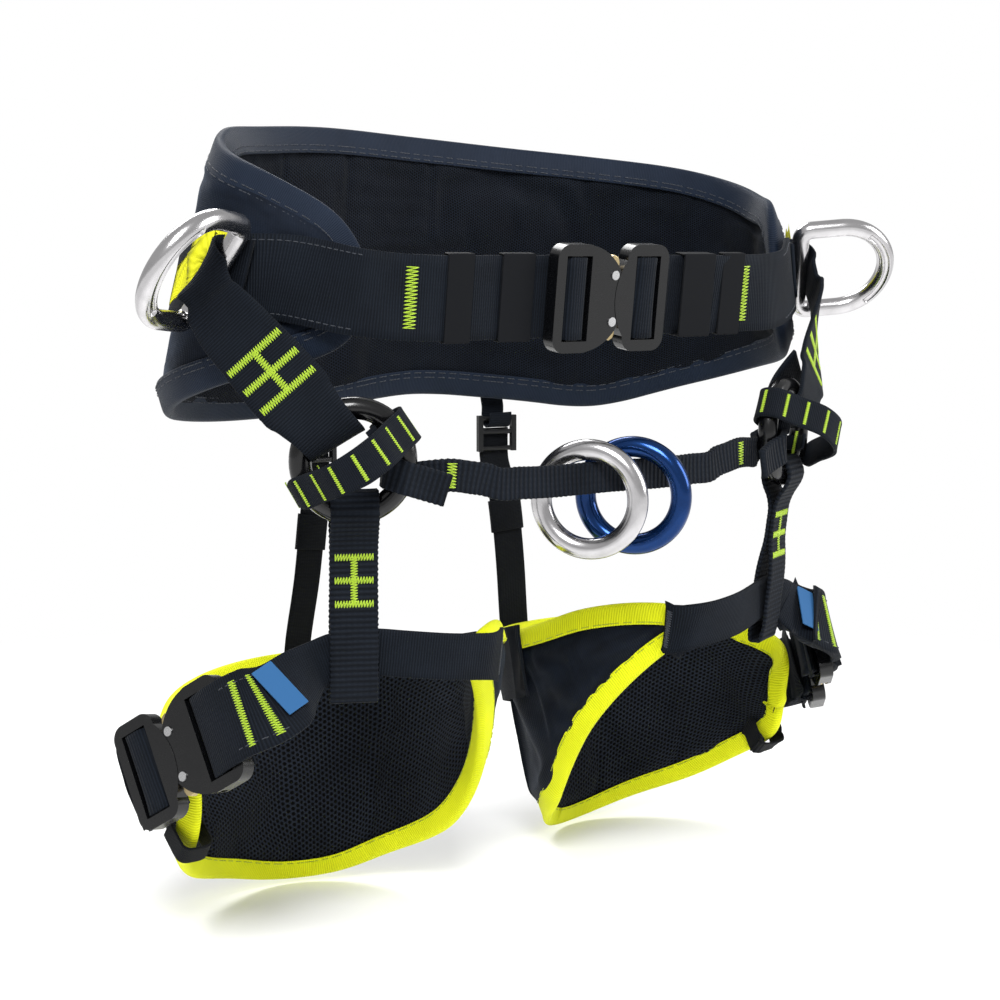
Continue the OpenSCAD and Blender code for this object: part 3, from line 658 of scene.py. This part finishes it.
class Pad:
    """A padded piece, read from the foam's outer skin and inner lining."""

    thin = 0.56  # thickness at the rim, as a part of the whole
    soft = 16  # how far in from the rim the pad reaches its whole thickness

    def __init__(self, shell, liner, round_end):
        skin = self.read(shell, liner)
        rows, self.s = resample(skin, 4.0)
        corners = (rows[:, 3 * k: 3 * k + 3] for k in (1, 2, 3, 4))
        self.top_out, self.bot_out, self.top_in, self.bot_in = corners
        end = np.minimum(self.s, self.s[-1] - self.s)
        height = np.linalg.norm(self.top_out - self.bot_out, axis=1)
        arc = np.sqrt(np.maximum(round_end**2 - (round_end - end)**2, 0))
        short = np.where(end < round_end, round_end - arc, 0)
        self.cut = np.clip(short / height, 0, 0.44)
        self.height = height

    @staticmethod
    def read(shell, liner):
        """Rows of a middle place and the four corners: top and bottom outside, top and bottom inside."""
        out = []
        for node, outside in ((shell, True), (liner, False)):
            r = rings(solids(node)[0], False)
            pair = [(r[:, 0], r[:, 3]), (r[:, 1], r[:, 2])]
            pair.sort(key=lambda q: -(q[0] + q[1])[:, 2].mean())
            axis = np.array([*r.mean((0, 1))[:2], 0])
            far = lambda v: np.linalg.norm((v - axis) * [1, 1, 0], axis=1).mean()
            out += [max(q, key=far) if outside else min(q, key=far) for q in pair]
        a, b, c, d = out
        if np.linalg.norm(a[0] - c[0]) > np.linalg.norm(a[0] - c[-1]):
            c, d = c[::-1], d[::-1]
        return np.hstack([(a + b + c + d) / 4, a, b, c, d])

    def surface(self, i, v, inner):
        """A point of a face: i a row number, v from 0 at the top edge to 1 at the bottom one."""
        top, bot = (self.top_in, self.bot_in) if inner else (self.top_out, self.bot_out)
        v = self.cut[i] + v * (1 - 2 * self.cut[i])
        point = lambda a, b: a[i] * (1 - v)[:, None] + b[i] * v[:, None]
        here, middle = point(top, bot), point(self.top_in + self.top_out, self.bot_in + self.bot_out) / 2
        rim = np.minimum(np.minimum(v - self.cut[i], 1 - self.cut[i] - v) * self.height[i],
                         np.minimum(self.s[i], self.s[-1] - self.s[i]))
        full = self.thin + (1 - self.thin) * smoothstep(rim, 0, self.soft)
        return middle + (here - middle) * full[:, None]

    def along(self, angle, centre_x, wide, deep, mirrored=False):
        """How far along the pad a direction is. Its angle goes round an ellipse, from the outer side
        towards the back, in degrees."""
        middle = (self.top_in + self.bot_in)[:, :2] / 2
        x = (middle[:, 0] - centre_x) * (-1 if mirrored else 1)
        found = np.degrees(np.unwrap(np.arctan2(middle[:, 1] / deep, x / wide)))
        found += 360 * round((100 - found.mean()) / 360)
        return float(self.s[np.argmin(np.abs(found - angle))])

    def grid(self, name, cell=5.0):
        """A closed mesh: outer face, inner face and the rim between them."""
        n = len(self.s)
        m = max(8, int(self.height.max() / cell))
        v = np.linspace(0, 1, m)
        i = np.arange(n)
        outer = np.stack([self.surface(i, np.full(n, q), False) for q in v], 1)
        inner = np.stack([self.surface(i, np.full(n, q), True) for q in v[::-1]], 1)
        ring = np.concatenate([outer, inner], 1)
        high = np.concatenate([v, v[::-1]]) * self.height.max()
        across = np.concatenate([high, high[:1]])
        across[m: 2 * m] += 3 * self.height.max()
        self.m = m
        obj = tube(name, ring, across, self.s, caps=False)
        self.close_ends(obj, n, 2 * m)
        return obj

    @staticmethod
    def close_ends(obj, n, k):
        """Fills both ends with faces between the outer and the inner edge."""
        mesh = obj.data
        b = bmesh.new()
        b.from_mesh(mesh)
        b.verts.ensure_lookup_table()
        for base, flip in ((0, True), ((n - 1) * k, False)):
            for j in range(k // 2 - 1):
                q = [base + j, base + j + 1, base + k - 2 - j, base + k - 1 - j]
                b.faces.new([b.verts[x] for x in (q[::-1] if flip else q)]).smooth = True
        b.to_mesh(mesh)
        b.free()

    def edge(self, step=2.6):
        """The path round the pad's edge: its middle, the skin's normal, outwards and half the thickness."""
        n = len(self.s)
        i = np.arange(n)
        pts = []
        for v, order in ((0.0, i), (1.0, i[::-1])):
            o, c = self.surface(order, np.full(n, v), False), self.surface(order, np.full(n, v), True)
            pts.append(np.hstack([(o + c) / 2, o, c]))
        path = np.vstack(pts)
        path, s = resample(path, step, closed=True)
        for _ in range(3):
            path = (np.roll(path, 1, 0) + 2 * path + np.roll(path, -1, 0)) / 4
        out, inn = path[:, 3:6], path[:, 6:9]
        skin = unit(out - inn)
        h = unit(np.roll(path, -1, 0)[:, :3] - np.roll(path, 1, 0)[:, :3])
        o = unit(np.cross(skin, h))
        centre = path[len(path) // 4, :3] * 0.5 + path[-len(path) // 4, :3] * 0.5
        if ((path[len(path) // 4, :3] - centre) @ o[len(path) // 4]) < 0:
            o = -o
        return path[:, :3], skin, o, np.linalg.norm(out - inn, axis=1) / 2, s


TAPE = 10.5  # how far in from the rim a binding may reach


def inflate(obj, pad, seams, cap_in, cap_out, swell, rim_room):
    """Cloth simulation with the rim and the seams held, then a cap on how far a point may have moved.
    seams gives, for each point, how far the fabric is pulled in, cap_out how far it may stand out, and
    rim_room how far it is from the pad's rim, all in millimetres."""
    mesh = obj.data
    n = len(mesh.vertices)
    rest = np.empty(n * 3)
    mesh.vertices.foreach_get("co", rest)
    rest = rest.reshape(-1, 3)
    normal = np.empty(n * 3)
    mesh.vertices.foreach_get("normal", normal)
    normal = normal.reshape(-1, 3)
    pulled = rest - normal * (seams * MM)[:, None]
    mesh.vertices.foreach_set("co", pulled.ravel())
    hold = obj.vertex_groups.new(name="held")
    k = 2 * pad.m
    j = np.arange(n) % k
    row = np.arange(n) // k
    rim = (j <= 1) | (j == k - 1) | (j == k - 2) | (np.abs(j - pad.m) <= 1) | (j == pad.m - 2) | (row < 2) \
        | (row > row.max() - 2)
    for v in np.where(rim | (seams > 1.2))[0]:
        hold.add([int(v)], 1.0, "REPLACE")
    cloth = obj.modifiers.new("cloth", "CLOTH")
    cloth.settings.quality = 4
    cloth.settings.mass = 0.25
    cloth.settings.tension_stiffness = 12
    cloth.settings.compression_stiffness = 8
    cloth.settings.shear_stiffness = 3
    cloth.settings.bending_stiffness = 0.6
    cloth.settings.shrink_min = -swell
    cloth.settings.use_pressure = True
    cloth.settings.uniform_pressure_force = 1.6
    cloth.settings.vertex_group_mass = "held"
    cloth.settings.effector_weights.gravity = 0
    cloth.collision_settings.use_collision = False
    cloth.point_cache.frame_end = 16
    scene = bpy.context.scene
    for f in range(1, 17):
        scene.frame_set(f)
    done = obj.evaluated_get(bpy.context.evaluated_depsgraph_get())
    co = np.empty(n * 3)
    done.data.vertices.foreach_get("co", co)
    co = co.reshape(-1, 3)
    obj.modifiers.remove(cloth)
    scene.frame_set(1)
    move = ((co - rest) * normal).sum(1)
    slide = (co - rest) - move[:, None] * normal
    # Under the binding the fabric is pressed flat.
    free = smoothstep(rim_room, TAPE, TAPE + 9)
    pressed = 0.6 * smoothstep(rim_room, 0, 3) * (1 - smoothstep(rim_room, TAPE - 1, TAPE + 4))
    move = np.clip(move, -cap_in * MM, cap_out * free * MM) - pressed * MM
    long = np.linalg.norm(slide, axis=1, keepdims=True)
    slide = slide * np.minimum(1, 2 * MM / np.maximum(long, 1e-9)) * free[:, None]
    mesh.vertices.foreach_set("co", (rest + normal * move[:, None] + slide).ravel())
    mesh.update()
    sub = obj.modifiers.new("smooth", "SUBSURF")
    sub.levels = sub.render_levels = 1


def pad_piece(name, pad, body, outer, inner, nodes, seams_out, seams_in, swell):
    """seams_out and seams_in give a face's seam depth in millimetres from (s, height from the top)."""
    obj = pad.grid(name)
    k = 2 * pad.m
    n = len(obj.data.vertices)
    j, row = np.arange(n) % k, np.arange(n) // k
    inside = j >= pad.m
    v = np.where(inside, (k - 1 - j), j) / (pad.m - 1)
    s, high = pad.s[row], pad.height[row]
    depth = np.where(inside, seams_in(s, v * high, high), seams_out(s, v * high, high))
    obj.data.materials.append(outer)
    obj.data.materials.append(inner)
    co = np.array([f.vertices[0] for f in obj.data.polygons])
    lining = (co % k >= pad.m - 1) & (co % k < k - 1)
    obj.data.polygons.foreach_set("material_index", lining.astype(np.int32))
    # The taper was made square to the rows. Round the corners it has to be square to the rim.
    co = np.empty(n * 3)
    obj.data.vertices.foreach_get("co", co)
    co = co.reshape(-1, 3)
    rim = pad.edge()[0] * MM
    room = np.array([np.linalg.norm(rim - q, axis=1).min() for q in co]) / MM
    along_row = np.minimum(v, 1 - v) * (1 - 2 * pad.cut[row]) * high
    column = np.minimum(along_row, np.minimum(s, pad.s[-1] - s))
    normal = np.empty(n * 3)
    obj.data.vertices.foreach_get("normal", normal)
    whole = np.linalg.norm(pad.top_out - pad.top_in, axis=1)[row] / 2
    too_full = smoothstep(column, 0, pad.soft) - smoothstep(room, 0, pad.soft)
    extra = np.maximum(whole * (1 - pad.thin) * too_full, 0)
    obj.data.vertices.foreach_set("co", (co - normal.reshape(-1, 3) * extra[:, None] * MM).ravel())
    obj.data.update()
    inflate(obj, pad, depth, 4.5, np.where(inside, 2.4, 0.8), swell, room)
    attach(obj, body)
    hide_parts(*nodes)
    return obj


def edge_tape(name, pad, body, finish, node, reach, stand, threads, lines):
    """Binding folded over the edge, with its stitch lines. lines are distances in from the edge."""
    p, skin, o, half, s = pad.edge()
    n = len(p)
    # Where the path turns tightly, the tape's inner edge is gathered rather than crossing itself.
    turn = np.roll(o, -3, 0) - np.roll(o, 3, 0)
    step = np.linalg.norm(np.roll(p, -3, 0) - np.roll(p, 3, 0), axis=1)
    bend = np.linalg.norm(turn, axis=1) / step
    for _ in range(6):
        bend = (np.roll(bend, 1) + bend + np.roll(bend, -1)) / 3
    room = np.clip(0.86 / np.maximum(bend, 1e-4), 3.5, reach)
    h = half[:, None]
    wide = room[:, None]
    t = 0.9
    # The pad's thickness at a distance from the rim, as a part of that at the rim
    full = lambda x: 1 + (1 / pad.thin - 1) * smoothstep(x, 0, pad.soft)
    outline = [(-wide, h * full(wide) + 0.6), (-wide * 0.6, h * full(wide * 0.6) + 0.8),
               (-wide * 0.25, h * full(wide * 0.25) + 0.65), (0 * wide + 1.2, h * 0.93),
               (0 * wide + stand * 0.72, h * 0.70), (0 * wide + stand * 0.97, h * 0.36),
               (0 * wide + stand, 0 * h)]
    outer = outline + [(x, -z) for x, z in outline[-2::-1]]
    inner = [(x + (0 if i in (0, len(outer) - 1) else -0.3), z - np.sign(z + 1e-9) * t) for i, (x, z) in
             enumerate(outer)]
    inner = [(np.minimum(x, stand - t), z) for x, z in inner]
    section = outer + inner[::-1]
    pts = np.stack([p + o * x + skin * z for x, z in section], 1)
    arc = [0.0]
    for (x0, z0), (x1, z1) in zip(section, section[1:]):
        arc.append(arc[-1] + math.hypot(float((x1 - x0).mean()), float((z1 - z0).mean())))
    arc.append(arc[-1] + t)
    obj = tube(name, pts, arc, s, closed_along=True)
    finished(obj, body, finish, (node,))
    sub = obj.modifiers.new("smooth", "SUBSURF")
    sub.levels = sub.render_levels = 1
    pitch, length = 3.7, 2.7
    where = np.arange(0, s[-1] - pitch, pitch)
    idx = lambda x: np.clip(np.interp(x, s[:n], np.arange(n)).astype(int), 0, n - 2)
    for inset in lines:
        for face in (1, -1):
            i, k = idx(where), idx(where + length)
            scale = np.minimum(1, room / reach)
            deep = inset * scale
            high = face * (half * full(deep) + 0.78)
            place = lambda q: p[q] - o[q] * deep[q, None] + skin[q] * high[q, None]
            a, b = place(i), place(k)
            good = np.linalg.norm(b - a, axis=1) > 1
            threads.add(a[good], b[good], face * skin[i][good])
    return obj


def ridges(s, positions, width=1.6, depth=1.6):
    out = np.zeros_like(s)
    for q in positions:
        out = np.maximum(out, depth * np.exp(-((s - q) / width) ** 2))
    return out


lime, dark, trim = {}, {}, {}


def thread(table, body, radius=0.32):
    return table.setdefault(body, Thread(radius))


# Waist pad. Its seams: along the top and bottom inside the binding, and across at each change of panel.
waist = Pad("waist_shell", "waist_liner", 16)


def waist_at(angle):
    return waist.along(angle, 0, 196, 97)


PANEL = (87, 109)  # a ribbed lumbar panel inside the waist pad, in degrees


def waist_out(s, high, tall):
    across = ridges(s, [waist_at(q) for q in (20, 62, 118, 160)])
    near_end = np.minimum(s, waist.s[-1] - s) < 130
    borders = np.maximum(ridges(high, [17], depth=1.2), ridges(tall - high, [17], depth=1.2))
    return np.maximum(across, near_end * borders)


def waist_in(s, high, tall):
    low, top = sorted(waist_at(q) for q in PANEL)
    panel = smoothstep(s, low, low + 3) * (1 - smoothstep(s, top - 3, top)) * (high < 62)
    ribs = panel * ridges(high, [22, 34, 46, 58], width=2.6, depth=2.4)
    across = ridges(s, [low, top], depth=1.8) * (high < 62)
    full = ridges(s, [waist_at(q) for q in (18, 50, 128, 168)], depth=1.4)
    return np.maximum(np.maximum(ribs, across), np.maximum(full, ridges(high, [17], width=1.2, depth=1.2)))


pad_piece("waist_pad", waist, "belt", SHELL, LINER,
          ("waist_foam", "waist_shell", "waist_liner"), waist_out, waist_in, 0.02)
edge_tape("waist_edge", waist, "belt", BIND_NAVY, "waist_binding", 11.5, 4.6,
          thread(dark, "belt", 0.3), (9.6, 6.6))


# Seams of the leg pads, in degrees round the thigh from its outer side
LEG_SEAMS = {"right": (40, 96, 141), "left": (32, 76, 135)}
LEG_CENTRE = 118

for side in LEGS:
    sign = -1 if side == "right" else 1
    pad = Pad(f"leg_shell_{side}", f"leg_liner_{side}", 14)
    body = f"leg_{side}"
    seams = [pad.along(q, sign * LEG_CENTRE, 1, 1, side == "right") for q in LEG_SEAMS[side]]
    tip = [pad.along(q, sign * LEG_CENTRE, 1, 1, side == "right") for q in (204, 186)]

    def leg_out(s, high, tall):
        return np.maximum(ridges(s, seams, depth=1.0), ridges(s, tip, depth=1.3))

    def leg_in(s, high, tall):
        return ridges(s, seams, depth=3.2)

    layered = tuple(f"{n}_{side}" for n in ("leg_foam", "leg_shell", "leg_liner"))
    pad_piece(f"leg_pad_{side}", pad, body, LEG_SHELL, LEG_MESH, layered, leg_out, leg_in,
              0.035)
    edge_tape(f"leg_edge_{side}", pad, body, BIND_YELLOW, f"leg_binding_{side}", 8.6, 4.0,
              thread(trim, body, 0.28), (7.0,))

# ---------------------------------------------------------------- webbing


def outward(strip, centre, place=None):
    """Turns a strip so that its upper face looks away from centre, half way along or near a place."""
    look = strip.p - np.asarray(centre)
    i = len(strip.p) // 2 if place is None else np.argmin(np.linalg.norm(strip.p - place, axis=1))
    return strip if strip.m[i] @ look[i] > 0 else strip.turned()


belt = outward(Strip("belt_web"), (0, 0, 0))
webbing("belt", belt, "belt", WEB, replaces=("belt_web",))
hip_web, gear, riser_strip, band = {}, {}, {}, {}
for k, side in enumerate(LEGS):
    sign = -1 if side == "right" else 1
    hip_tack = (sign * 196, -68, -49)
    hip_web[side] = outward(Strip("hip_webs", k), (sign * 130, -40, -70), hip_tack)
    webbing(f"hip_web_{side}", hip_web[side], "belt", WEB, replaces=("hip_webs",))
    gear[side] = outward(Strip("gear_loops", k, step=1.5), (sign * 156, -83, -96))
    webbing(f"gear_loop_{side}", gear[side], "belt", WEB_FINE, replaces=("gear_loops",))
    rear = Strip("rear_tabs", k)
    webbing(f"rear_tab_{side}", rear, "belt", WEB_FINE, replaces=("rear_tabs",))
    tab = outward(Strip("d_tabs", k), (0, 0, 0))
    webbing(f"d_tab_{side}", tab, "belt", TAB_YELLOW, replaces=("d_tabs",))
    body = f"leg_{side}"
    riser_strip[side] = Strip(f"riser_{side}", step=1.1, closed=True)
    riser_node = f"riser_{side}"
    webbing(f"riser_web_{side}", riser_strip[side], body, WEB_COARSE, replaces=(riser_node,), teeth=0.3)
    band[side] = outward(Strip(f"leg_band_{side}"), (sign * 118, 0, -260))
    # The band dives into the pad at its inner tip, and comes out again at the back of the thigh.
    enters, leaves = band[side].near((sign * 76, -76, -209)), band[side].near((sign * 24, 4, -238))
    webbing(f"band_front_{side}", band[side].part(0, enters), body, WEB, replaces=(f"leg_band_{side}",))
    webbing(f"band_back_{side}", band[side].part(leaves, 1e4), body, WEB, replaces=(f"leg_band_{side}",))
    strap = outward(Strip(f"rear_strap_{side}"), (sign * 80, 0, -170))
    webbing(f"rear_strap_web_{side}", strap, body, ELASTIC, replaces=(f"rear_strap_{side}",))
    s = strap.near((sign * 75, 98, -160))
    sleeve(f"strap_keeper_{side}", strap.part(s - 12, s + 12), body, ELASTIC)
    keeper = Strip(f"leg_keeper_{side}", step=1.2)
    webbing(f"keeper_{side}", keeper, body, ELASTIC, replaces=(f"leg_keeper_{side}",))
    web = Strip(f"leg_plug_web_{side}")
    webbing(f"plug_web_{side}", web, f"leg_plug_{side}", WEB, replaces=(f"leg_plug_web_{side}",))
webbing("plug_web_waist", Strip("waist_plug_web"), "waist_plug", WEB, replaces=("waist_plug_web",))
bridge = outward(Strip("bridge_web", step=1.6), (0, 0, -112))
webbing("bridge", bridge, "belt", WEB_COARSE, replaces=("bridge_web",), teeth=0.25)

# ---------------------------------------------------------------- stitching


def middle(node):
    low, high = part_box(node)
    return np.array(low + high) / 2 / MM


LABEL_AT = {side: middle(f"leg_label_{side}") for side in LEGS}

# The belt's stitch lines run along both edges of the pad's webbing.
belt_lime, belt_dark = thread(lime, "belt"), thread(dark, "belt", 0.3)
pad_start, pad_end = belt.near((155, -85, -8)), belt.near((-155, -85, -8))
for a in (-19.5, 19.5):
    belt_dark.row(belt, min(pad_start, pad_end), max(pad_start, pad_end), a)

for side in LEGS:
    sign = -1 if side == "right" else 1
    body = f"leg_{side}"
    t = thread(lime, body)
    # Hip webbing: three bars and a link where its layers are sewn together
    web = hip_web[side]
    s = web.near((sign * 196, -68, -49))
    for d in (-13, 0, 13):
        belt_lime.bar(web, s + d, -17.5, 17.5)
    belt_lime.run(web, s - 13, s + 13, 0)
    # Riser: three short bars and a link, on the layer that faces forwards
    strip = riser_strip[side]
    s = strip.near((sign * 152, -84, -160))
    for d in (-12.8, 0, 12.8):
        t.bar(strip, s + d, -10, 10, wide=4)
    t.run(strip, s - 12.8, s + 12.8, 0, wide=4)
    # Gear loop: a row of bars
    strip = gear[side]
    span = strip.s[-1]
    for k in range(13):
        belt_lime.bar(strip, span * (0.05 + 0.9 * k / 12), -7.4, 7.4, wide=2.2, pitch=1.1)
    # Bridge: one bar tack near each hip ring
    s = bridge.near((sign * 104, -98.5, -105.5))
    belt_lime.bar(bridge, s, -6.4, 6.4, wide=5.5)
    # Leg band: two zigzags across it beside the buckle, and two rows of dark stitches to the label
    strip = band[side]
    tag = strip.near(LABEL_AT[side]) - 18
    for d in (-6, 6):
        t.bar(strip, tag + d, -18, 18, wide=4)
    edge = thread(dark, body, 0.3)
    for a in (-17, 17):
        edge.row(strip, tag - 14, tag + 10, a)
    # A dark tack where the band goes into the pad
    enters = strip.near((sign * 76, -76, -209))
    edge.bar(strip, enters - 3, -11, 11, wide=3)
# Front keepers: one upright zigzag on each side of the belt
for place in ((-127, -96, -10), (111, -93, -12)):
    belt_lime.bar(belt, belt.near(place), -16, 16, wide=7, pitch=1.8)

THREADS = ((lime, LIME, "lime"), (dark, DARK_THREAD, "dark"), (trim, YELLOW_THREAD, "trim"))
for table, finish, name in THREADS:
    for body, t in sorted(table.items()):
        slot = "trim_yellow" if table in (lime, trim) else "webbing"
        t.build(f"{name}_thread_{body}", body, finish, slot)

# ---------------------------------------------------------------- metal and plastic


def dressed(node, finish, bevel=0.0, angle=30.0, segments=3):
    """A CAD node keeps its shape, and gets its finish, smooth shading and softened edges."""
    obj = NODES[node]
    obj.data.materials.clear()
    obj.data.materials.append(finish)
    weld_mod = obj.modifiers.new("weld", "WELD")
    weld_mod.merge_threshold = 0.00001
    if bevel:
        b = obj.modifiers.new("bevel", "BEVEL")
        b.width = bevel * MM
        b.segments = segments
        b.limit_method = "ANGLE"
        b.angle_limit = math.radians(angle)
        b.harden_normals = False
        obj.modifiers.new("normals", "WEIGHTED_NORMAL").keep_sharp = False
    obj.data.polygons.foreach_set("use_smooth", [True] * len(obj.data.polygons))
    return obj


dressed("hip_rings", RING_BLACK)
for node in ("side_d_right", "side_d_left", "ring_silver"):
    dressed(node, SILVER)
dressed("ring_blue", BLUE)
for place, end in (("waist", ""), *(("leg", "_" + side) for side in LEGS)):
    dressed(f"{place}_socket{end}", BUCKLE, 0.9)
    dressed(f"{place}_plug{end}", BUCKLE, 0.9)
    dressed(f"{place}_rivets{end}", STEEL, 0.3)
    dressed(f"{place}_springs{end}", STEEL, 0.12)
    for level in ("upper", "lower"):
        dressed(f"{place}_lever_{level}{end}", BRASS, 0.45)
for side in LEGS:
    dressed(f"rear_slider_{side}", PLASTIC, 0.6)
    dressed(f"leg_label_{side}", LABEL, 0.2)
dressed("web_keepers", SOFT, 0.8)

# ---------------------------------------------------------------- floor, light, camera

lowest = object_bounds()[0].z
GLOW = (380, 900)  # the floor's own glow starts and is whole at these distances


def disc(name, radius, z, corners=64):
    """The floor. Near the object it takes shadows, and further out it glows as white as the sky."""
    turn = np.arange(corners) * 2 * math.pi / corners
    co = np.stack([radius * np.cos(turn), radius * np.sin(turn), np.full(corners, z)], 1)
    obj = new_object(name, co / MM, [range(corners)], smooth=False)
    f = Finish("floor", rough=0.9, specular=0.1)
    place = f.place()
    f.colour(f.mix(f.noise(place, 400.0), (0.93, 0.93, 0.93), (0.95, 0.95, 0.95)))
    flat = f.node("ShaderNodeVectorMath", operation="MULTIPLY")
    flat.inputs[1].default_value = (1, 1, 0)
    f.link(place, flat.inputs[0])
    away = f.node("ShaderNodeVectorMath", operation="LENGTH")
    f.link(flat.outputs[0], away.inputs[0])
    glow = f.node("ShaderNodeEmission")
    blend = f.node("ShaderNodeMixShader")
    f.link(f.spread(away.outputs["Value"], *GLOW), blend.inputs[0])
    f.link(f.out.outputs[0], blend.inputs[1])
    f.link(glow.outputs[0], blend.inputs[2])
    f.link(blend.outputs[0], f.tree.nodes["Material Output"].inputs["Surface"])
    obj.data.materials.append(f.mat)
    return obj


disc("floor", 12.0, lowest - 0.003)

scene = bpy.context.scene
scene.view_settings.view_transform = "Standard"
world = bpy.data.worlds.new("studio")
scene.world = world
world.use_nodes = True
# Seen straight on, the surroundings are white. As light they are dimmer, so that dark gloss stays dark.
sky = world.node_tree.nodes["Background"]
rays = world.node_tree.nodes.new("ShaderNodeLightPath")
level = world.node_tree.nodes.new("ShaderNodeMapRange")
level.inputs["To Min"].default_value, level.inputs["To Max"].default_value = 0.5, 1.0
world.node_tree.links.new(rays.outputs["Is Camera Ray"], level.inputs["Value"])
world.node_tree.links.new(level.outputs[0], sky.inputs["Strength"])
sky.inputs["Color"].default_value = (1, 1, 1, 1)


def softbox(name, place, size, power, target=(0, 0, -0.15)):
    light = bpy.data.lights.new(name, "AREA")
    light.shape = "RECTANGLE"
    light.size, light.size_y = size
    light.energy = power
    obj = bpy.data.objects.new(name, light)
    obj.location = place
    obj.rotation_mode = "QUATERNION"
    obj.rotation_quaternion = (Vector(target) - Vector(place)).to_track_quat("-Z", "Y")
    scene.collection.objects.link(obj)


softbox("key", (-1.1, -1.5, 1.5), (0.9, 0.9), 60)
softbox("fill", (1.6, -1.2, 0.7), (1.0, 1.2), 26)
softbox("back", (0.3, 1.6, 1.4), (1.4, 0.8), 36)

HEADING, TILT, LENS = 36, 7, 70.99  # degrees from +Y towards +X, degrees downwards, millimetres
EYE_M = (-0.700, -0.963, 0.010)
camera = bpy.data.cameras.new("camera")
camera.lens = LENS
camera.sensor_width = 36
eye = bpy.data.objects.new("camera", camera)
scene.collection.objects.link(eye)
eye.location = EYE_M
turn, drop = math.radians(HEADING), math.radians(TILT)
look = Vector((math.sin(turn) * math.cos(drop), math.cos(turn) * math.cos(drop), -math.sin(drop)))
eye.rotation_mode = "QUATERNION"
eye.rotation_quaternion = look.to_track_quat("-Z", "Y")
camera.clip_start, camera.clip_end = 0.05, 50
scene.camera = eye
